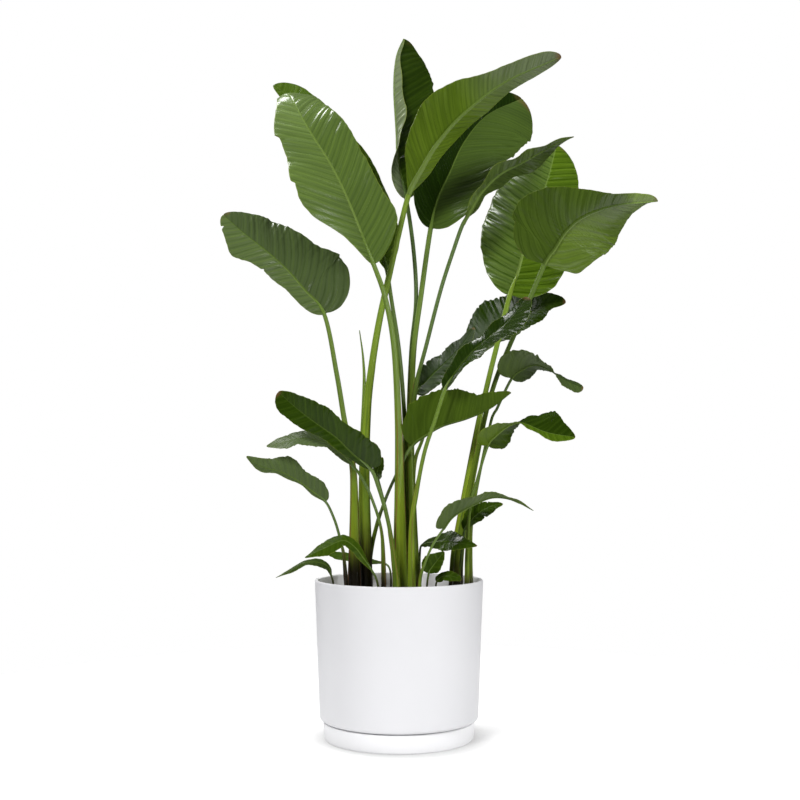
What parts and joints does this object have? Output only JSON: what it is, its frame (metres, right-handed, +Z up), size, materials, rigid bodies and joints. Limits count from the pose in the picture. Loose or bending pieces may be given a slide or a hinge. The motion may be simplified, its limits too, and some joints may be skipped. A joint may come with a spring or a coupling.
{
  "type": "potted giant white bird of paradise",
  "caption": "Tall leafy plant with broad paddle-shaped leaves on long clasping stalks, in a tapered matte white pot that stands on a shallow white saucer.",
  "frame": {"origin": "centre of the saucer's flat underside", "axes": "+Z up, +X to the right and +Y to the back as seen in the picture"},
  "size_m": [0.8447, 0.4083, 1.4309],
  "materials": {
    "white_pot": "matte white with a faint sheen",
    "soil": "crumbly potting soil",
    "blade": "waxy deep green, paler beneath",
    "stalk": "smooth light green with brown papery margins"
  },
  "bodies": {
    "root": {"centre_fore_blade": "blade", "centre_fore_stalk": "stalk", "centre_rear_blade": "blade", "centre_rear_stalk": "stalk", "front_left_blade": "blade", "front_left_stalk": "stalk", "front_sucker_blade": "blade", "front_sucker_stalk": "stalk", "inner_dark_blade": "blade", "inner_dark_stalk": "stalk", "left_seedling_blade": "blade", "left_seedling_stalk": "stalk", "left_spread_blade": "blade", "left_spread_stalk": "stalk", "left_sucker_blade": "blade", "left_sucker_stalk": "stalk", "low_centre_blade": "blade", "low_centre_stalk": "stalk", "low_left_blade": "blade", "low_left_stalk": "stalk", "low_left_thin_blade": "blade", "low_left_thin_stalk": "stalk", "pot": "white_pot", "rear_left_blade": "blade", "rear_left_stalk": "stalk", "rear_seedling_blade": "blade", "rear_seedling_stalk": "stalk", "right_broad_blade": "blade", "right_broad_stalk": "stalk", "right_fore_blade": "blade", "right_fore_stalk": "stalk", "right_low_blade": "blade", "right_low_stalk": "stalk", "right_seedling_blade": "blade", "right_seedling_stalk": "stalk", "right_sucker_blade": "blade", "right_sucker_stalk": "stalk", "right_twisted_blade": "blade", "right_twisted_stalk": "stalk", "rolled_new_leaf": "stalk", "saucer": "white_pot", "small_right_blade": "blade", "small_right_stalk": "stalk", "soil": "soil", "tiny_left_blade": "blade", "tiny_left_stalk": "stalk", "tiny_right_blade": "blade", "tiny_right_stalk": "stalk", "top_arching_blade": "blade", "top_arching_stalk": "stalk", "top_broad_blade": "blade", "top_broad_stalk": "stalk", "top_curled_blade": "blade", "top_curled_stalk": "stalk", "top_upright_blade": "blade", "top_upright_stalk": "stalk", "torn_strip_blade": "blade", "torn_strip_stalk": "stalk"}
  },
  "joints": []
}
